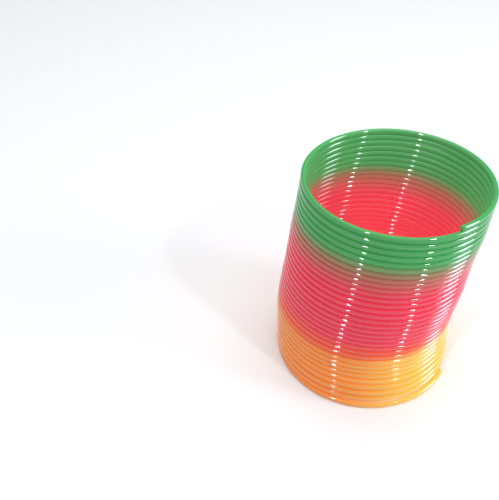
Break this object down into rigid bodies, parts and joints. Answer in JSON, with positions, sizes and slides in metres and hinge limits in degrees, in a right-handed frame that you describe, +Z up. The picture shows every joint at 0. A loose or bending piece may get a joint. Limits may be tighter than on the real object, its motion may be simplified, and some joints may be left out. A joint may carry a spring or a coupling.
{
  "type": "spring coil toy",
  "caption": "Closed coil of one glossy plastic strand with three colour runs; it fans over into an arch to either side and stretches upwards.",
  "frame": {"origin": "on the table, in the middle of the closed coil's outline", "axes": "+Z up along the coil, +X to the right, -Y to the front, where the strand's upper end is at the front right"},
  "size_m": [0.0779, 0.0795, 0.0784],
  "materials": {
    "orange_yellow_plastic": "glossy, slightly clear, orange at the left turning yellow at the right",
    "pink_red_plastic": "glossy, slightly clear pink-red",
    "green_plastic": "glossy, slightly clear green"
  },
  "bodies": {
    "lower_end_turns": {"lower_end_turns": "orange_yellow_plastic"},
    "turn_01_front": {"turn_01_front": "orange_yellow_plastic"},
    "turn_01_back": {"turn_01_back": "orange_yellow_plastic"},
    "turn_02_front": {"turn_02_front": "orange_yellow_plastic"},
    "turn_02_back": {"turn_02_back": "orange_yellow_plastic"},
    "turn_03_front": {"turn_03_front": "orange_yellow_plastic"},
    "turn_03_back": {"turn_03_back": "orange_yellow_plastic"},
    "turn_04_front": {"turn_04_front": "orange_yellow_plastic"},
    "turn_04_back": {"turn_04_back": "orange_yellow_plastic"},
    "turn_05_front": {"turn_05_front": "orange_yellow_plastic"},
    "turn_05_back": {"turn_05_back": "orange_yellow_plastic"},
    "turn_06_front": {"turn_06_front": "orange_yellow_plastic"},
    "turn_06_back": {"turn_06_back": "orange_yellow_plastic"},
    "turn_07_front": {"turn_07_front": "orange_yellow_plastic"},
    "turn_07_back": {"turn_07_back": "orange_yellow_plastic"},
    "turn_08_front": {"turn_08_front": "orange_yellow_plastic"},
    "turn_08_back": {"turn_08_back": "orange_yellow_plastic"},
    "turn_09_front": {"turn_09_front": "orange_yellow_plastic"},
    "turn_09_back": {"turn_09_back": "orange_yellow_plastic"},
    "turn_10_front": {"turn_10_front": "pink_red_plastic"},
    "turn_10_back": {"turn_10_back": "pink_red_plastic"},
    "turn_11_front": {"turn_11_front": "pink_red_plastic"},
    "turn_11_back": {"turn_11_back": "pink_red_plastic"},
    "turn_12_front": {"turn_12_front": "pink_red_plastic"},
    "turn_12_back": {"turn_12_back": "pink_red_plastic"},
    "turn_13_front": {"turn_13_front": "pink_red_plastic"},
    "turn_13_back": {"turn_13_back": "pink_red_plastic"},
    "turn_14_front": {"turn_14_front": "pink_red_plastic"},
    "turn_14_back": {"turn_14_back": "pink_red_plastic"},
    "turn_15_front": {"turn_15_front": "pink_red_plastic"},
    "turn_15_back": {"turn_15_back": "pink_red_plastic"},
    "turn_16_front": {"turn_16_front": "pink_red_plastic"},
    "turn_16_back": {"turn_16_back": "pink_red_plastic"},
    "turn_17_front": {"turn_17_front": "pink_red_plastic"},
    "turn_17_back": {"turn_17_back": "pink_red_plastic"},
    "turn_18_front": {"turn_18_front": "pink_red_plastic"},
    "turn_18_back": {"turn_18_back": "pink_red_plastic"},
    "turn_19_front": {"turn_19_front": "pink_red_plastic"},
    "turn_19_back": {"turn_19_back": "pink_red_plastic"},
    "turn_20_front": {"turn_20_front": "pink_red_plastic"},
    "turn_20_back": {"turn_20_back": "pink_red_plastic"},
    "turn_21_front": {"turn_21_front": "pink_red_plastic"},
    "turn_21_back": {"turn_21_back": "pink_red_plastic"},
    "turn_22_front": {"turn_22_front": "pink_red_plastic"},
    "turn_22_back": {"turn_22_back": "pink_red_plastic"},
    "turn_23_front": {"turn_23_front": "pink_red_plastic"},
    "turn_23_back": {"turn_23_back": "pink_red_plastic"},
    "turn_24_front": {"turn_24_front": "pink_red_plastic"},
    "turn_24_back": {"turn_24_back": "pink_red_plastic"},
    "turn_25_front": {"turn_25_front": "green_plastic"},
    "turn_25_back": {"turn_25_back": "green_plastic"},
    "turn_26_front": {"turn_26_front": "green_plastic"},
    "turn_26_back": {"turn_26_back": "green_plastic"},
    "turn_27_front": {"turn_27_front": "green_plastic"},
    "turn_27_back": {"turn_27_back": "green_plastic"},
    "turn_28_front": {"turn_28_front": "green_plastic"},
    "turn_28_back": {"turn_28_back": "green_plastic"},
    "turn_29_front": {"turn_29_front": "green_plastic"},
    "turn_29_back": {"turn_29_back": "green_plastic"},
    "upper_end_turns": {"upper_end_turns": "green_plastic"}
  },
  "joints": [
    {"name": "right_twist_01", "type": "hinge", "parent": "lower_end_turns", "child": "turn_01_front", "pos_m": [0.03005, -0.00359, 0.00544], "axis": [0, 1, 0], "range_deg": [0, 5.5], "stiffness_Nm_per_rad": 0.32, "springref_deg": 1.09},
    {"name": "left_twist_01", "type": "hinge", "parent": "turn_01_front", "child": "turn_01_back", "pos_m": [-0.03805, -0.00325, 0.00618], "axis": [0, -1, 0], "range_deg": [0, 6.33], "stiffness_Nm_per_rad": 0.37, "springref_deg": 1.22},
    {"name": "right_twist_02", "type": "hinge", "parent": "turn_01_back", "child": "turn_02_front", "pos_m": [0.03005, -0.00286, 0.00808], "axis": [0, 1, 0], "range_deg": [0, 5.5], "stiffness_Nm_per_rad": 0.3, "springref_deg": 1.12},
    {"name": "left_twist_02", "type": "hinge", "parent": "turn_02_front", "child": "turn_02_back", "pos_m": [-0.03805, -0.00244, 0.00901], "axis": [0, -1, 0], "range_deg": [0, 6.33], "stiffness_Nm_per_rad": 0.36, "springref_deg": 1.22},
    {"name": "right_twist_03", "type": "hinge", "parent": "turn_02_back", "child": "turn_03_front", "pos_m": [0.03005, -0.00202, 0.01051], "axis": [0, 1, 0], "range_deg": [0, 5.5], "stiffness_Nm_per_rad": 0.28, "springref_deg": 1.16},
    {"name": "left_twist_03", "type": "hinge", "parent": "turn_03_front", "child": "turn_03_back", "pos_m": [-0.03805, -0.00162, 0.01159], "axis": [0, -1, 0], "range_deg": [0, 6.33], "stiffness_Nm_per_rad": 0.34, "springref_deg": 1.25},
    {"name": "right_twist_04", "type": "hinge", "parent": "turn_03_back", "child": "turn_04_front", "pos_m": [0.03005, -0.00125, 0.01279], "axis": [0, 1, 0], "range_deg": [0, 5.5], "stiffness_Nm_per_rad": 0.26, "springref_deg": 1.21},
    {"name": "left_twist_04", "type": "hinge", "parent": "turn_04_front", "child": "turn_04_back", "pos_m": [-0.03805, -0.00096, 0.01405], "axis": [0, -1, 0], "range_deg": [0, 6.33], "stiffness_Nm_per_rad": 0.33, "springref_deg": 1.24},
    {"name": "right_twist_05", "type": "hinge", "parent": "turn_04_back", "child": "turn_05_front", "pos_m": [0.03005, -0.00075, 0.01505], "axis": [0, 1, 0], "range_deg": [0, 5.5], "stiffness_Nm_per_rad": 0.25, "springref_deg": 1.22},
    {"name": "left_twist_05", "type": "hinge", "parent": "turn_05_front", "child": "turn_05_back", "pos_m": [-0.03805, -0.00064, 0.01637], "axis": [0, -1, 0], "range_deg": [0, 6.33], "stiffness_Nm_per_rad": 0.32, "springref_deg": 1.23},
    {"name": "right_twist_06", "type": "hinge", "parent": "turn_05_back", "child": "turn_06_front", "pos_m": [0.03005, -0.00055, 0.0173], "axis": [0, 1, 0], "range_deg": [0, 5.5], "stiffness_Nm_per_rad": 0.24, "springref_deg": 1.23},
    {"name": "left_twist_06", "type": "hinge", "parent": "turn_06_front", "child": "turn_06_back", "pos_m": [-0.03805, -0.00046, 0.01865], "axis": [0, -1, 0], "range_deg": [0, 6.33], "stiffness_Nm_per_rad": 0.31, "springref_deg": 1.21},
    {"name": "right_twist_07", "type": "hinge", "parent": "turn_06_back", "child": "turn_07_front", "pos_m": [0.03005, -0.00037, 0.01955], "axis": [0, 1, 0], "range_deg": [0, 5.5], "stiffness_Nm_per_rad": 0.23, "springref_deg": 1.24},
    {"name": "left_twist_07", "type": "hinge", "parent": "turn_07_front", "child": "turn_07_back", "pos_m": [-0.03792, -0.00023, 0.02093], "axis": [0, -1, 0], "range_deg": [0, 6.33], "stiffness_Nm_per_rad": 0.29, "springref_deg": 1.24},
    {"name": "right_twist_08", "type": "hinge", "parent": "turn_07_back", "child": "turn_08_front", "pos_m": [0.03034, -0.00002, 0.02179], "axis": [0, 1, 0], "range_deg": [0, 5.5], "stiffness_Nm_per_rad": 0.22, "springref_deg": 1.25},
    {"name": "left_twist_08", "type": "hinge", "parent": "turn_08_front", "child": "turn_08_back", "pos_m": [-0.0376, 0.00018, 0.02321], "axis": [0, -1, 0], "range_deg": [0, 6.33], "stiffness_Nm_per_rad": 0.28, "springref_deg": 1.23},
    {"name": "right_twist_09", "type": "hinge", "parent": "turn_08_back", "child": "turn_09_front", "pos_m": [0.03066, 0.00036, 0.02404], "axis": [0, 1, 0], "range_deg": [0, 5.5], "stiffness_Nm_per_rad": 0.22, "springref_deg": 1.2},
    {"name": "left_twist_09", "type": "hinge", "parent": "turn_09_front", "child": "turn_09_back", "pos_m": [-0.03728, 0.00051, 0.0255], "axis": [0, -1, 0], "range_deg": [0, 6.33], "stiffness_Nm_per_rad": 0.27, "springref_deg": 1.21},
    {"name": "right_twist_10", "type": "hinge", "parent": "turn_09_back", "child": "turn_10_front", "pos_m": [0.03098, 0.00063, 0.02629], "axis": [0, 1, 0], "range_deg": [0, 5.5], "stiffness_Nm_per_rad": 0.21, "springref_deg": 1.21},
    {"name": "left_twist_10", "type": "hinge", "parent": "turn_10_front", "child": "turn_10_back", "pos_m": [-0.03696, 0.00071, 0.02778], "axis": [0, -1, 0], "range_deg": [0, 6.33], "stiffness_Nm_per_rad": 0.25, "springref_deg": 1.25},
    {"name": "right_twist_11", "type": "hinge", "parent": "turn_10_back", "child": "turn_11_front", "pos_m": [0.0313, 0.00075, 0.02854], "axis": [0, 1, 0], "range_deg": [0, 5.5], "stiffness_Nm_per_rad": 0.2, "springref_deg": 1.22},
    {"name": "left_twist_11", "type": "hinge", "parent": "turn_11_front", "child": "turn_11_back", "pos_m": [-0.03664, 0.00076, 0.03006], "axis": [0, -1, 0], "range_deg": [0, 6.33], "stiffness_Nm_per_rad": 0.24, "springref_deg": 1.24},
    {"name": "right_twist_12", "type": "hinge", "parent": "turn_11_back", "child": "turn_12_front", "pos_m": [0.03162, 0.00075, 0.03078], "axis": [0, 1, 0], "range_deg": [0, 5.5], "stiffness_Nm_per_rad": 0.19, "springref_deg": 1.23},
    {"name": "left_twist_12", "type": "hinge", "parent": "turn_12_front", "child": "turn_12_back", "pos_m": [-0.03632, 0.00072, 0.03234], "axis": [0, -1, 0], "range_deg": [0, 6.33], "stiffness_Nm_per_rad": 0.23, "springref_deg": 1.23},
    {"name": "right_twist_13", "type": "hinge", "parent": "turn_12_back", "child": "turn_13_front", "pos_m": [0.03193, 0.00068, 0.03303], "axis": [0, 1, 0], "range_deg": [0, 5.5], "stiffness_Nm_per_rad": 0.18, "springref_deg": 1.24},
    {"name": "left_twist_13", "type": "hinge", "parent": "turn_13_front", "child": "turn_13_back", "pos_m": [-0.03601, 0.00065, 0.03463], "axis": [0, -1, 0], "range_deg": [0, 6.33], "stiffness_Nm_per_rad": 0.22, "springref_deg": 1.21},
    {"name": "right_twist_14", "type": "hinge", "parent": "turn_13_back", "child": "turn_14_front", "pos_m": [0.03225, 0.00063, 0.03528], "axis": [0, 1, 0], "range_deg": [0, 5.5], "stiffness_Nm_per_rad": 0.17, "springref_deg": 1.25},
    {"name": "left_twist_14", "type": "hinge", "parent": "turn_14_front", "child": "turn_14_back", "pos_m": [-0.03569, 0.00063, 0.03691], "axis": [0, -1, 0], "range_deg": [0, 6.33], "stiffness_Nm_per_rad": 0.21, "springref_deg": 1.2},
    {"name": "right_twist_15", "type": "hinge", "parent": "turn_14_back", "child": "turn_15_front", "pos_m": [0.03257, 0.00066, 0.03753], "axis": [0, 1, 0], "range_deg": [0, 5.5], "stiffness_Nm_per_rad": 0.17, "springref_deg": 1.19},
    {"name": "left_twist_15", "type": "hinge", "parent": "turn_15_front", "child": "turn_15_back", "pos_m": [-0.03537, 0.00073, 0.03919], "axis": [0, -1, 0], "range_deg": [0, 6.33], "stiffness_Nm_per_rad": 0.19, "springref_deg": 1.24},
    {"name": "right_twist_16", "type": "hinge", "parent": "turn_15_back", "child": "turn_16_front", "pos_m": [0.03289, 0.00083, 0.03977], "axis": [0, 1, 0], "range_deg": [0, 5.5], "stiffness_Nm_per_rad": 0.16, "springref_deg": 1.2},
    {"name": "left_twist_16", "type": "hinge", "parent": "turn_16_front", "child": "turn_16_back", "pos_m": [-0.03505, 0.00097, 0.04147], "axis": [0, -1, 0], "range_deg": [0, 6.33], "stiffness_Nm_per_rad": 0.18, "springref_deg": 1.23},
    {"name": "right_twist_17", "type": "hinge", "parent": "turn_16_back", "child": "turn_17_front", "pos_m": [0.03321, 0.00114, 0.04202], "axis": [0, 1, 0], "range_deg": [0, 5.5], "stiffness_Nm_per_rad": 0.15, "springref_deg": 1.2},
    {"name": "left_twist_17", "type": "hinge", "parent": "turn_17_front", "child": "turn_17_back", "pos_m": [-0.03473, 0.00133, 0.04376], "axis": [0, -1, 0], "range_deg": [0, 6.33], "stiffness_Nm_per_rad": 0.17, "springref_deg": 1.21},
    {"name": "right_twist_18", "type": "hinge", "parent": "turn_17_back", "child": "turn_18_front", "pos_m": [0.03353, 0.00154, 0.04427], "axis": [0, 1, 0], "range_deg": [0, 5.5], "stiffness_Nm_per_rad": 0.14, "springref_deg": 1.21},
    {"name": "left_twist_18", "type": "hinge", "parent": "turn_18_front", "child": "turn_18_back", "pos_m": [-0.03441, 0.00176, 0.04604], "axis": [0, -1, 0], "range_deg": [0, 6.33], "stiffness_Nm_per_rad": 0.16, "springref_deg": 1.2},
    {"name": "right_twist_19", "type": "hinge", "parent": "turn_18_back", "child": "turn_19_front", "pos_m": [0.03385, 0.00198, 0.04652], "axis": [0, 1, 0], "range_deg": [0, 5.5], "stiffness_Nm_per_rad": 0.13, "springref_deg": 1.21},
    {"name": "left_twist_19", "type": "hinge", "parent": "turn_19_front", "child": "turn_19_back", "pos_m": [-0.03409, 0.00218, 0.04832], "axis": [0, -1, 0], "range_deg": [0, 6.33], "stiffness_Nm_per_rad": 0.15, "springref_deg": 1.18},
    {"name": "right_twist_20", "type": "hinge", "parent": "turn_19_back", "child": "turn_20_front", "pos_m": [0.03417, 0.00236, 0.04876], "axis": [0, 1, 0], "range_deg": [0, 5.5], "stiffness_Nm_per_rad": 0.12, "springref_deg": 1.22},
    {"name": "left_twist_20", "type": "hinge", "parent": "turn_20_front", "child": "turn_20_back", "pos_m": [-0.03377, 0.00251, 0.05061], "axis": [0, -1, 0], "range_deg": [0, 6.33], "stiffness_Nm_per_rad": 0.13, "springref_deg": 1.25},
    {"name": "right_twist_21", "type": "hinge", "parent": "turn_20_back", "child": "turn_21_front", "pos_m": [0.03449, 0.00262, 0.05101], "axis": [0, 1, 0], "range_deg": [0, 5.5], "stiffness_Nm_per_rad": 0.11, "springref_deg": 1.23},
    {"name": "left_twist_21", "type": "hinge", "parent": "turn_21_front", "child": "turn_21_back", "pos_m": [-0.03345, 0.0027, 0.05289], "axis": [0, -1, 0], "range_deg": [0, 6.33], "stiffness_Nm_per_rad": 0.12, "springref_deg": 1.23},
    {"name": "right_twist_22", "type": "hinge", "parent": "turn_21_back", "child": "turn_22_front", "pos_m": [0.0348, 0.00275, 0.05326], "axis": [0, 1, 0], "range_deg": [0, 5.5], "stiffness_Nm_per_rad": 0.099, "springref_deg": 1.25},
    {"name": "left_twist_22", "type": "hinge", "parent": "turn_22_front", "child": "turn_22_back", "pos_m": [-0.03314, 0.00276, 0.05517], "axis": [0, -1, 0], "range_deg": [0, 6.33], "stiffness_Nm_per_rad": 0.11, "springref_deg": 1.21},
    {"name": "right_twist_23", "type": "hinge", "parent": "turn_22_back", "child": "turn_23_front", "pos_m": [0.03512, 0.00274, 0.0555], "axis": [0, 1, 0], "range_deg": [0, 5.5], "stiffness_Nm_per_rad": 0.09, "springref_deg": 1.24},
    {"name": "left_twist_23", "type": "hinge", "parent": "turn_23_front", "child": "turn_23_back", "pos_m": [-0.03282, 0.00271, 0.05745], "axis": [0, -1, 0], "range_deg": [0, 6.33], "stiffness_Nm_per_rad": 0.096, "springref_deg": 1.24},
    {"name": "right_twist_24", "type": "hinge", "parent": "turn_23_back", "child": "turn_24_front", "pos_m": [0.03544, 0.00268, 0.05775], "axis": [0, 1, 0], "range_deg": [0, 5.5], "stiffness_Nm_per_rad": 0.08, "springref_deg": 1.25},
    {"name": "left_twist_24", "type": "hinge", "parent": "turn_24_front", "child": "turn_24_back", "pos_m": [-0.0325, 0.00264, 0.05974], "axis": [0, -1, 0], "range_deg": [0, 6.33], "stiffness_Nm_per_rad": 0.084, "springref_deg": 1.25},
    {"name": "right_twist_25", "type": "hinge", "parent": "turn_24_back", "child": "turn_25_front", "pos_m": [0.03576, 0.00262, 0.06], "axis": [0, 1, 0], "range_deg": [0, 5.5], "stiffness_Nm_per_rad": 0.071, "springref_deg": 1.24},
    {"name": "left_twist_25", "type": "hinge", "parent": "turn_25_front", "child": "turn_25_back", "pos_m": [-0.03218, 0.00262, 0.06202], "axis": [0, -1, 0], "range_deg": [0, 6.33], "stiffness_Nm_per_rad": 0.073, "springref_deg": 1.25},
    {"name": "right_twist_26", "type": "hinge", "parent": "turn_25_back", "child": "turn_26_front", "pos_m": [0.03608, 0.00265, 0.06225], "axis": [0, 1, 0], "range_deg": [0, 5.5], "stiffness_Nm_per_rad": 0.061, "springref_deg": 1.24},
    {"name": "left_twist_26", "type": "hinge", "parent": "turn_26_front", "child": "turn_26_back", "pos_m": [-0.03186, 0.00272, 0.0643], "axis": [0, -1, 0], "range_deg": [0, 6.33], "stiffness_Nm_per_rad": 0.062, "springref_deg": 1.25},
    {"name": "right_twist_27", "type": "hinge", "parent": "turn_26_back", "child": "turn_27_front", "pos_m": [0.0364, 0.00282, 0.06449], "axis": [0, 1, 0], "range_deg": [0, 5.5], "stiffness_Nm_per_rad": 0.051, "springref_deg": 1.25},
    {"name": "left_twist_27", "type": "hinge", "parent": "turn_27_front", "child": "turn_27_back", "pos_m": [-0.03154, 0.00296, 0.06658], "axis": [0, -1, 0], "range_deg": [0, 6.33], "stiffness_Nm_per_rad": 0.051, "springref_deg": 1.25},
    {"name": "right_twist_28", "type": "hinge", "parent": "turn_27_back", "child": "turn_28_front", "pos_m": [0.03672, 0.00313, 0.06674], "axis": [0, 1, 0], "range_deg": [0, 5.5], "stiffness_Nm_per_rad": 0.041, "springref_deg": 1.25},
    {"name": "left_twist_28", "type": "hinge", "parent": "turn_28_front", "child": "turn_28_back", "pos_m": [-0.03122, 0.00332, 0.06887], "axis": [0, -1, 0], "range_deg": [0, 6.33], "stiffness_Nm_per_rad": 0.041, "springref_deg": 1.23},
    {"name": "right_twist_29", "type": "hinge", "parent": "turn_28_back", "child": "turn_29_front", "pos_m": [0.03704, 0.00354, 0.06899], "axis": [0, 1, 0], "range_deg": [0, 5.5], "stiffness_Nm_per_rad": 0.031, "springref_deg": 1.25},
    {"name": "left_twist_29", "type": "hinge", "parent": "turn_29_front", "child": "turn_29_back", "pos_m": [-0.0309, 0.00376, 0.07115], "axis": [0, -1, 0], "range_deg": [0, 6.33], "stiffness_Nm_per_rad": 0.03, "springref_deg": 1.23},
    {"name": "right_twist_30", "type": "hinge", "parent": "turn_29_back", "child": "upper_end_turns", "pos_m": [0.03735, 0.00397, 0.07124], "axis": [0, 1, 0], "range_deg": [0, 5.5], "stiffness_Nm_per_rad": 0.021, "springref_deg": 1.24}
  ],
  "couplings": [
    {"joint": "right_twist_02", "follows": "right_twist_01", "ratio": 1},
    {"joint": "left_twist_02", "follows": "left_twist_01", "ratio": 1},
    {"joint": "right_twist_03", "follows": "right_twist_01", "ratio": 1},
    {"joint": "left_twist_03", "follows": "left_twist_01", "ratio": 1},
    {"joint": "right_twist_04", "follows": "right_twist_01", "ratio": 1},
    {"joint": "left_twist_04", "follows": "left_twist_01", "ratio": 1},
    {"joint": "right_twist_05", "follows": "right_twist_01", "ratio": 1},
    {"joint": "left_twist_05", "follows": "left_twist_01", "ratio": 1},
    {"joint": "right_twist_06", "follows": "right_twist_01", "ratio": 1},
    {"joint": "left_twist_06", "follows": "left_twist_01", "ratio": 1},
    {"joint": "right_twist_07", "follows": "right_twist_01", "ratio": 1},
    {"joint": "left_twist_07", "follows": "left_twist_01", "ratio": 1},
    {"joint": "right_twist_08", "follows": "right_twist_01", "ratio": 1},
    {"joint": "left_twist_08", "follows": "left_twist_01", "ratio": 1},
    {"joint": "right_twist_09", "follows": "right_twist_01", "ratio": 1},
    {"joint": "left_twist_09", "follows": "left_twist_01", "ratio": 1},
    {"joint": "right_twist_10", "follows": "right_twist_01", "ratio": 1},
    {"joint": "left_twist_10", "follows": "left_twist_01", "ratio": 1},
    {"joint": "right_twist_11", "follows": "right_twist_01", "ratio": 1},
    {"joint": "left_twist_11", "follows": "left_twist_01", "ratio": 1},
    {"joint": "right_twist_12", "follows": "right_twist_01", "ratio": 1},
    {"joint": "left_twist_12", "follows": "left_twist_01", "ratio": 1},
    {"joint": "right_twist_13", "follows": "right_twist_01", "ratio": 1},
    {"joint": "left_twist_13", "follows": "left_twist_01", "ratio": 1},
    {"joint": "right_twist_14", "follows": "right_twist_01", "ratio": 1},
    {"joint": "left_twist_14", "follows": "left_twist_01", "ratio": 1},
    {"joint": "right_twist_15", "follows": "right_twist_01", "ratio": 1},
    {"joint": "left_twist_15", "follows": "left_twist_01", "ratio": 1},
    {"joint": "right_twist_16", "follows": "right_twist_01", "ratio": 1},
    {"joint": "left_twist_16", "follows": "left_twist_01", "ratio": 1},
    {"joint": "right_twist_17", "follows": "right_twist_01", "ratio": 1},
    {"joint": "left_twist_17", "follows": "left_twist_01", "ratio": 1},
    {"joint": "right_twist_18", "follows": "right_twist_01", "ratio": 1},
    {"joint": "left_twist_18", "follows": "left_twist_01", "ratio": 1},
    {"joint": "right_twist_19", "follows": "right_twist_01", "ratio": 1},
    {"joint": "left_twist_19", "follows": "left_twist_01", "ratio": 1},
    {"joint": "right_twist_20", "follows": "right_twist_01", "ratio": 1},
    {"joint": "left_twist_20", "follows": "left_twist_01", "ratio": 1},
    {"joint": "right_twist_21", "follows": "right_twist_01", "ratio": 1},
    {"joint": "left_twist_21", "follows": "left_twist_01", "ratio": 1},
    {"joint": "right_twist_22", "follows": "right_twist_01", "ratio": 1},
    {"joint": "left_twist_22", "follows": "left_twist_01", "ratio": 1},
    {"joint": "right_twist_23", "follows": "right_twist_01", "ratio": 1},
    {"joint": "left_twist_23", "follows": "left_twist_01", "ratio": 1},
    {"joint": "right_twist_24", "follows": "right_twist_01", "ratio": 1},
    {"joint": "left_twist_24", "follows": "left_twist_01", "ratio": 1},
    {"joint": "right_twist_25", "follows": "right_twist_01", "ratio": 1},
    {"joint": "left_twist_25", "follows": "left_twist_01", "ratio": 1},
    {"joint": "right_twist_26", "follows": "right_twist_01", "ratio": 1},
    {"joint": "left_twist_26", "follows": "left_twist_01", "ratio": 1},
    {"joint": "right_twist_27", "follows": "right_twist_01", "ratio": 1},
    {"joint": "left_twist_27", "follows": "left_twist_01", "ratio": 1},
    {"joint": "right_twist_28", "follows": "right_twist_01", "ratio": 1},
    {"joint": "left_twist_28", "follows": "left_twist_01", "ratio": 1},
    {"joint": "right_twist_29", "follows": "right_twist_01", "ratio": 1},
    {"joint": "left_twist_29", "follows": "left_twist_01", "ratio": 1},
    {"joint": "right_twist_30", "follows": "right_twist_01", "ratio": 1}
  ]
}
